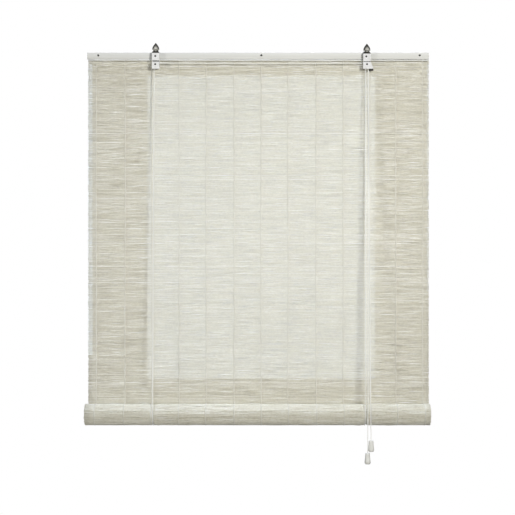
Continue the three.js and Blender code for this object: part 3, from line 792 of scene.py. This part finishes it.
def slings():
    """The cords that cradle the roll and ride with it."""
    for side in ("left", "right"):
        made = rope(f"{side}_sling_rope", catmull_rom(sling_line(side), 1.3 * MM))
        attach(made, "carriage")
        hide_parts(f"{side}_sling")


PULLEY_TURN = 3.4 * MM  # radius of a cord's line over a pulley
SAG = 1 * MM  # of the cord across the head


def pulley_centre(side):
    """The place (x, z) of a bracket's axle."""
    x, _, z = box_of(f"{side}_axle")[2]
    return x, z


def turn(centre, plane, start, stop, steps=8):
    """An arc over a pulley between two angles in degrees."""
    angles = [math.radians(a) for a in np.linspace(start, stop, steps)]
    arc = [(PULLEY_TURN * math.cos(a), PULLEY_TURN * math.sin(a)) for a in angles]
    return [(centre[0] + x, plane, centre[1] + z) for x, z in arc]


def head_cords():
    """The cord across the head and the one that turns over the right pulley, down to the lock."""
    left, right = pulley_centre("left"), pulley_centre("right")
    rear, front = PULL_CORD_A[0][1], PULL_CORD_B[0][1]
    foot = PULL_CORD_A[0][2] + 0.3 * MM
    span = []
    for share in (0.02, 0.2, 0.4, 0.6, 0.8, 0.98):
        x = left[0] + (right[0] - left[0]) * share
        span.append((x, rear, left[1] + PULLEY_TURN - 4 * SAG * share * (1 - share)))

    def down(plane):
        """From the right pulley down to the lock, in the pulley's plane."""
        x = right[0] + PULLEY_TURN
        return [(x, plane, (right[1] + foot) / 2), (x, plane, foot)]

    across = [*turn(left, rear, 180, 90), *span, *turn(right, rear, 90, 0), *down(rear)]
    over = [*turn(right, front, 180, 0, 14), *down(front)]
    for name, points in (("cross_cord", across), ("lock_cord", over)):
        # These cords take the darker copy of the thread: painted shade where they run under the
        # board and inside the bracket.
        made = rope(name + "_rope", catmull_rom(points, 1.2 * MM), material=SHADED_THREAD)
        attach(made, "head")
        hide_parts(name)


def knot(name, node_name, body):
    """An overhand knot, drawn tight, in the place of its CAD node."""
    low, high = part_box(node_name)
    centre = (low + high) / 2
    cord = CORD_RADIUS * 0.95
    reach = ((high.x - low.x) / 2 - cord) / 3
    rise = (high.z - low.z) / 2 - cord
    turns = np.linspace(0, 2 * np.pi, 72, endpoint=False)
    loop = np.stack(
        [
            centre.x + reach * (np.sin(turns) + 2 * np.sin(2 * turns)),
            centre.y + reach * (np.cos(turns) - 2 * np.cos(2 * turns)),
            centre.z - rise * np.sin(3 * turns),
        ],
        -1,
    )
    through = np.linspace((centre.x, centre.y, low.z), (centre.x, centre.y, high.z), 6)
    surface = Surface()
    for line in (np.vstack([loop, loop[:2]]), through):
        surface.add_tube(rope_rings(line, cord, pitch=4 * MM))
    made = surface.build(name, CORD)
    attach(made, body)
    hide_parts(node_name)
    return made


lift_strands()
slings()
head_cords()
knot("left_rear_knot", "left_anchor_knot", "head")
knot("right_rear_knot", "right_anchor_knot", "head")


# ---------- Pull cords ----------
def knob(letter):
    """A turned bell with a rounded lip and a pocket in its foot for the knot."""
    node_name = f"pull_knob_{letter}"
    low, high, (x, y, _) = box_of(node_name)
    bell = [(4.9, 0), (5.6, -0.5), (6.0, -2.4), (6.4, -8), (7.1, -14.5), (7.65, -19.8)]
    lip = [(7.9, -22.4), (7.75, -24.6), (7.2, -26.7), (5.9, -28.2)]
    outside = rounded([*outline_from(high.z, [*bell, *lip]), (5.1 * MM, low.z)])
    pocket_top = low.z + 13 * MM
    inside = [
        (4.9 * MM, low.z),
        (4.6 * MM, low.z + 0.3 * MM),
        (4.6 * MM, pocket_top),
        (1.4 * MM, pocket_top),
        (1.4 * MM, high.z - 0.5 * MM),
        (1.8 * MM, high.z),
    ]
    made = ring_lathe(f"bell_knob_{letter}", [*outside.tolist(), *inside], (x, y, 0), KNOB)
    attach(made, f"pull_{letter}")
    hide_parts(node_name)
    return made


RING_SEGMENTS = 56


def ring_lathe(name, profile, centre, material):
    """A turned piece whose profile closes on itself, so that it has a bore."""
    angles = 2 * np.pi * np.arange(RING_SEGMENTS) / RING_SEGMENTS
    points = np.array(profile)
    count = len(points)
    cos, sin = np.cos(angles), np.sin(angles)
    x = centre[0] + points[:, 0:1] * cos
    y = centre[1] + points[:, 0:1] * sin
    z = centre[2] + np.repeat(points[:, 1:2], RING_SEGMENTS, 1)
    index = np.arange(count * RING_SEGMENTS).reshape(count, RING_SEGMENTS)
    below = np.roll(index, -1, axis=0)
    quads = np.stack([index, np.roll(index, -1, 1), np.roll(below, -1, 1), below], -1)
    faces = quads.reshape(-1, 4).tolist()
    made = mesh_object(name, np.stack([x, y, z], -1).reshape(-1, 3), faces)
    finish_object(made, material)
    outward(made)
    sharp_edges(made, SHARP_CORNER)
    return made


def outward(made):
    """Turns a closed mesh's faces out."""
    work = bmesh.new()
    work.from_mesh(made.data)
    bmesh.ops.recalc_face_normals(work, faces=work.faces)
    work.to_mesh(made.data)
    work.free()


def pull_cord(letter, route):
    """One pull cord: a length above the roll, a length below it, its knob and its knot."""
    split = next(i for i, point in enumerate(route) if point[2] <= PULL_CORD_SPLIT_Z)
    above, below = route[: split + 1], route[split:]
    bell = knob(letter)
    stopper = knot(f"stopper_knot_{letter}", f"pull_knot_{letter}", f"pull_{letter}")

    upper_line = catmull_rom(above, 1.6 * MM)
    upper = rope(f"pull_cord_{letter}_upper_rope", upper_line)
    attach(upper, "head")
    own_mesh(upper)
    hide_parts(f"pull_cord_{letter}_upper")

    lower_line = catmull_rom(below, 0.8 * MM)
    lower = rope(f"pull_cord_{letter}_lower_rope", lower_line)
    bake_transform(lower)
    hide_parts(f"pull_cord_{letter}_lower")


pull_cord("a", PULL_CORD_A)
pull_cord("b", PULL_CORD_B)


# ---------- Brackets ----------
def dress(node_name, material, edge):
    """A CAD node with its finish, its triangles merged into flats and its edges broken."""
    made = frame["nodes"][node_name]
    made.data.materials.clear()
    made.data.materials.append(material)
    weld = made.modifiers.new("weld", "WELD")
    weld.merge_threshold = 0.002 * MM
    flats = made.modifiers.new("flats", "DECIMATE")
    flats.decimate_type = "DISSOLVE"
    flats.angle_limit = math.radians(0.5)
    bevel = made.modifiers.new("bevel", "BEVEL")
    bevel.width = edge
    bevel.segments = 2
    bevel.limit_method = "ANGLE"
    bevel.angle_limit = math.radians(35)
    bevel.harden_normals = True


def finial(side):
    """An onion on a waisted neck, turned in one piece with its stem."""
    name = f"{side}_finial"
    low, high, (x, y, _) = box_of(name)
    base = low.z + 7.8 * MM
    stem = [(0, low.z), (1.7 * MM, low.z), (2 * MM, low.z + 0.4 * MM), (2 * MM, base)]
    neck = [(5.7, 0), (5.8, 0.5), (5.4, 1.3), (5.9, 2.2)]
    onion = [(8.0, 3.3), (8.9, 5.0), (9.0, 7.4), (8.1, 11.1), (6.2, 14.6), (3.9, 17.8)]
    tip = [(2.0, 20.4), (1.05, 21.7)]
    body = rounded([*outline_from(base, [*neck, *onion, *tip]), (0.1 * MM, high.z)])
    profile = [*stem, *body.tolist()]
    made = lathe(f"{side}_onion_finial", profile, (x, y, 0), (0, 0, 1), AGED_NICKEL)
    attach(made, "head")
    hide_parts(name)


DOME = [math.radians(a) for a in (1, 15, 30, 45, 60, 75, 90)]


def domed_pin(piece, node_name, material, slotted):
    """A screw or rivet along Y: a domed head, with a driver slot in a screw's, and its shank."""
    low, high, (x, _, z) = box_of(node_name)
    head = (high.x - low.x) / 2
    height = min(1.5 * MM, head * 0.6)
    shank = head * 0.55
    front = low.y
    dome = [(head * math.sin(a), front + height * (1 - math.cos(a)) * 0.9) for a in DOME]
    profile = [
        *dome,
        (head, front + height),
        (shank, front + height),
        (shank, high.y - shank),
        (0.02 * MM, high.y),
    ]
    made = lathe(piece, profile, (x, 0, z), (0, 1, 0), material, 40)
    if slotted:
        cut_slot(made, x, z, head, front, height)
    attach(made, "head")
    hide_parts(node_name)


def cut_slot(made, x, z, head, front, height):
    """A driver slot across the screw's head."""
    wide, long = head * 0.13, head * 1.1
    corners = [
        (x + sx * long, front + sy, z + sz * wide)
        for sx in (-1, 1)
        for sy in (-height, height * 0.55)
        for sz in (-1, 1)
    ]
    faces = [(0, 1, 3, 2), (4, 6, 7, 5), (0, 4, 5, 1), (2, 3, 7, 6), (0, 2, 6, 4), (1, 5, 7, 3)]
    cutter = mesh_object("slot_cutter", corners, faces)
    outward(cutter)
    modifier = made.modifiers.new("slot", "BOOLEAN")
    modifier.operation = "DIFFERENCE"
    modifier.solver = "EXACT"
    modifier.object = cutter
    depsgraph = bpy.context.evaluated_depsgraph_get()
    result = bpy.data.meshes.new_from_object(made.evaluated_get(depsgraph))
    made.modifiers.clear()
    made.data = result
    bpy.data.objects.remove(cutter)
    sharp_edges(made, TURNED_CORNER)


def fine_pulley(name):
    """A grooved wheel with rounded flanges, on the pulley's own body."""
    low, high, middle = box_of(name)
    radius, half = (high.x - low.x) / 2, (high.y - low.y) / 2
    bore, groove, floor = 1.5 * MM, 2.1 * MM, 1.3 * MM
    profile = [
        (bore, -half),
        (radius - 0.25 * MM, -half),
        (radius, -half + 0.15 * MM),
        (radius - 0.1 * MM, -half + 0.35 * MM),
        (groove + 0.3 * MM, -floor - 0.1 * MM),
        (groove, -floor * 0.6),
        (groove, floor * 0.6),
        (groove + 0.3 * MM, floor + 0.1 * MM),
        (radius - 0.1 * MM, half - 0.35 * MM),
        (radius, half - 0.15 * MM),
        (radius - 0.25 * MM, half),
        (bore, half),
    ]
    made = ring_lathe(f"{name}_wheel", profile, (0, 0, 0), NYLON)
    made.data.transform(Matrix.Translation(middle) @ Matrix.Rotation(math.radians(90), 4, "X"))
    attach(made, name)
    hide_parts(name)


BOARD_DROP = 0.8 * MM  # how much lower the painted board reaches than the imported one


def painted_board():
    """The board in front of the sheet: sawn straight, hand-sanded edges, thick paint."""
    along = np.linspace(BOARD_LOW.x, BOARD_HIGH.x, 61)
    edge = 0.45 * MM
    foot = BOARD_LOW.z - BOARD_DROP
    half_deep, half_high = (BOARD_HIGH.y - BOARD_LOW.y) / 2, (BOARD_HIGH.z - foot) / 2
    outline = []
    for y_sign, z_sign, start in ((1, -1, 270), (1, 1, 0), (-1, 1, 90), (-1, -1, 180)):
        for a in np.radians(np.linspace(start, start + 90, 4)):
            y = y_sign * (half_deep - edge) + edge * np.cos(a)
            outline.append((y, z_sign * (half_high - edge) + edge * np.sin(a)))
    outline = np.array(outline) + ((BOARD_LOW.y + BOARD_HIGH.y) / 2, (foot + BOARD_HIGH.z) / 2)
    uneven = 0.06 * MM * rng.normal(size=(len(along), 1)) * np.ones(len(outline))
    x = np.broadcast_to(along[:, None], uneven.shape)
    rings = np.stack([x, outline[:, 0] + 0.5 * uneven, outline[:, 1] + uneven], -1)
    made = tube("painted_head_board", rings, PAINTED)
    outward(made)
    sharp_edges(made, SHARP_CORNER)
    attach(made, "head")
    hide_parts("head_front_board")


def hem_stick():
    """A thicker, paler stick along the sheet where it comes out from behind the board."""
    count = 49
    along = np.linspace(PANEL_LOW.x + 1 * MM, PANEL_HIGH.x - 1 * MM, count)
    slope = np.linspace(0, -0.8 * MM, count)
    y = BOARD_LOW.y + 1.1 * MM + 0.15 * MM * rng.normal(size=count)
    z = BOARD_LOW.z - 3.1 * MM + slope + 0.12 * MM * rng.normal(size=count)
    line = np.stack([along, y, z], -1)
    rings = rope_rings(line, 1.8 * MM, sides=10, lobes=2, pitch=9.0, depth=0.08)
    made = tube("hem_stick", rings, HEM_WHITE, 0.9)
    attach(made, "head")


painted_board()
hem_stick()
for side in ("left", "right"):
    for name in ("back_plate", "cap", "pulley_housing"):
        dress(f"{side}_{name}", NICKEL, 0.3 * MM)
    dress(f"{side}_finial_base", DARK_STEEL, 0.5 * MM)
    finial(side)
    domed_pin(f"{side}_cap_screw", f"{side}_bracket_screw", DARK_STEEL, True)
    domed_pin(f"{side}_axle_rivet", f"{side}_axle", DARK_STEEL, False)
for place in ("left", "centre", "right"):
    domed_pin(f"{place}_rail_screw", f"clamp_screw_{place}", DARK_STEEL, True)
for name in ("left_pulley", "right_rear_pulley", "right_front_pulley"):
    fine_pulley(name)
dress("left_axle_spacer", NYLON, 0.1 * MM)
for name in ("lock_anvil_pin", "lock_cam_pin", "lock_cam"):
    dress(name, DARK_STEEL, 0.15 * MM)
for name in ("head_rear_batten", "bottom_bar"):
    dress(name, LIMEWASH, 0.3 * MM)


# ---------- Floor and light ----------
FLOOR_Z = -2.95
FLOOR_RADIUS = 7.0
FLOOR_THICK = 0.02
FLOOR_MIDDLE_Y = -1.0


def floor():
    """A plain pale floor, far enough below for the knobs at the end of their travel."""
    surface = Surface()
    angles = 2 * np.pi * np.arange(96) / 96
    corners = ((0.01, -FLOOR_THICK), (FLOOR_RADIUS, -FLOOR_THICK), (FLOOR_RADIUS, 0), (0.01, 0))
    rings = []
    for radius, height in corners:
        x, y = radius * np.cos(angles), FLOOR_MIDDLE_Y + radius * np.sin(angles)
        rings.append(np.stack([x, y, np.full_like(angles, FLOOR_Z + height)], -1))
    surface.add_tube(np.array(rings))
    made = mesh_object("floor", np.concatenate(surface.points), surface.faces)
    outward(made)
    material, tree, shader = new_material("pale_floor", {"Roughness": 0.8})
    clouds = noise_at(tree, (1.5, 1.5, 1.5), 3, 0.5)
    stops = [(0.3, (0.76, 0.76, 0.75)), (0.7, (0.80, 0.80, 0.79))]
    connect(tree, shader, {"Base Color": ramp(tree, clouds, stops)})
    made.data.materials.append(material)


# The fill that lights everything: its level, and how it rises along each axis.
FILL_LEVEL = 0.27
FILL_SLOPE = (0.0, 0.20, 0.18)
# What polished metal mirrors: the same, how it falls off both up and down, and its least.
STUDIO_LEVEL = 0.22
STUDIO_SLOPE = (0.1, -0.95, 0.12)
STUDIO_FADE = (0.0, 0.0, -0.42)
STUDIO_LEAST = 0.08


def studio_dome():
    """White to the camera, a bright front to polished metal, and a dim fill to all else."""
    world = bpy.data.worlds.new("studio")
    bpy.context.scene.world = world
    world.use_nodes = True
    tree = world.node_tree
    tree.nodes.clear()
    direction = node(tree, "TexCoord").outputs["Generated"]
    slope = node(tree, "VectorMath", {1: STUDIO_SLOPE}, {0: direction}, operation="DOT_PRODUCT")
    away = node(tree, "VectorMath", links={0: direction}, operation="ABSOLUTE").outputs[0]
    fade = node(tree, "VectorMath", {1: STUDIO_FADE}, {0: away}, operation="DOT_PRODUCT")
    shape = add_values(tree, slope.outputs["Value"], fade.outputs["Value"], 1.0)
    level = node(tree, "Math", {1: STUDIO_LEVEL}, {0: shape}, operation="ADD")
    level = node(tree, "Math", {1: STUDIO_LEAST}, {0: level.outputs[0]}, operation="MAXIMUM")
    studio = node(tree, "Background", links={"Strength": level.outputs[0]})
    back = node(tree, "VectorMath", {1: FILL_SLOPE}, {0: direction}, operation="DOT_PRODUCT")
    dim = node(tree, "Math", {1: FILL_LEVEL}, {0: back.outputs["Value"]}, operation="ADD")
    fill = node(tree, "Background", links={"Strength": dim.outputs[0]})
    white = node(tree, "Background", {"Color": (1, 1, 1, 1), "Strength": 1.0})
    path = node(tree, "LightPath")
    unseen = mix_shaders(tree, path.outputs["Is Glossy Ray"], fill, studio)
    sky = mix_shaders(tree, path.outputs["Is Camera Ray"], unseen, white)
    node(tree, "OutputWorld", links={"Surface": sky.outputs[0]})


def area_light(name, place, target, size, power, spread, colour=(1, 1, 1)):
    """A soft rectangular light that isn't itself seen; spread is in degrees."""
    data = bpy.data.lights.new(name, "AREA")
    data.shape = "RECTANGLE"
    data.size, data.size_y = size
    data.energy = power
    data.color = colour
    data.spread = math.radians(spread)
    made = bpy.data.objects.new(name, data)
    made.location = place
    made.rotation_euler = (Vector(target) - Vector(place)).to_track_quat("-Z", "Y").to_euler()
    made.visible_camera = False
    made.visible_glossy = False
    bpy.context.scene.collection.objects.link(made)


WINDOW_DISTANCE = 0.05  # how far the window's light lies behind the wall face
DAYLIGHT = (0.66, 0.81, 1.10)
SKYLIGHT = (0.80, 0.93, 1.22)


def window_glow(name, left, right, top, bottom, brightness, spread):
    """Daylight on the back of the panel, in the shape of the window behind it."""
    x, z = (left + right) / 2, (top + bottom) / 2
    size = (right - left, top - bottom)
    power = brightness * size[0] * size[1]
    area_light(name, (x, WINDOW_DISTANCE, z), (x, 0, z), size, power, spread, DAYLIGHT)


floor()
studio_dome()
area_light("key_light", (1.35, -2.75, 0.27), (0.0, 0.0, -0.45), (0.6, 0.6), 25.6, 100)
area_light("left_light", (-3.4, -2.46, -0.9), (0.0, 0.0, -0.45), (0.3, 0.5), 16.0, 100)
area_light("top_light", (0.05, -0.15, 2.56), (0.0, -0.035, -0.943), (2.2, 0.3), 4.7, 26, SKYLIGHT)
window_glow("window_light", -0.292, 0.3095, -0.052, -0.852, 3.2, 1.6)
window_glow("left_edge_glow", -0.455, -0.4375, -0.02, -0.79, 6.5, 5.0)
window_glow("right_edge_glow", 0.446, 0.456, -0.02, -0.62, 4.5, 3.0)

bpy.context.scene.view_settings.view_transform = "Standard"
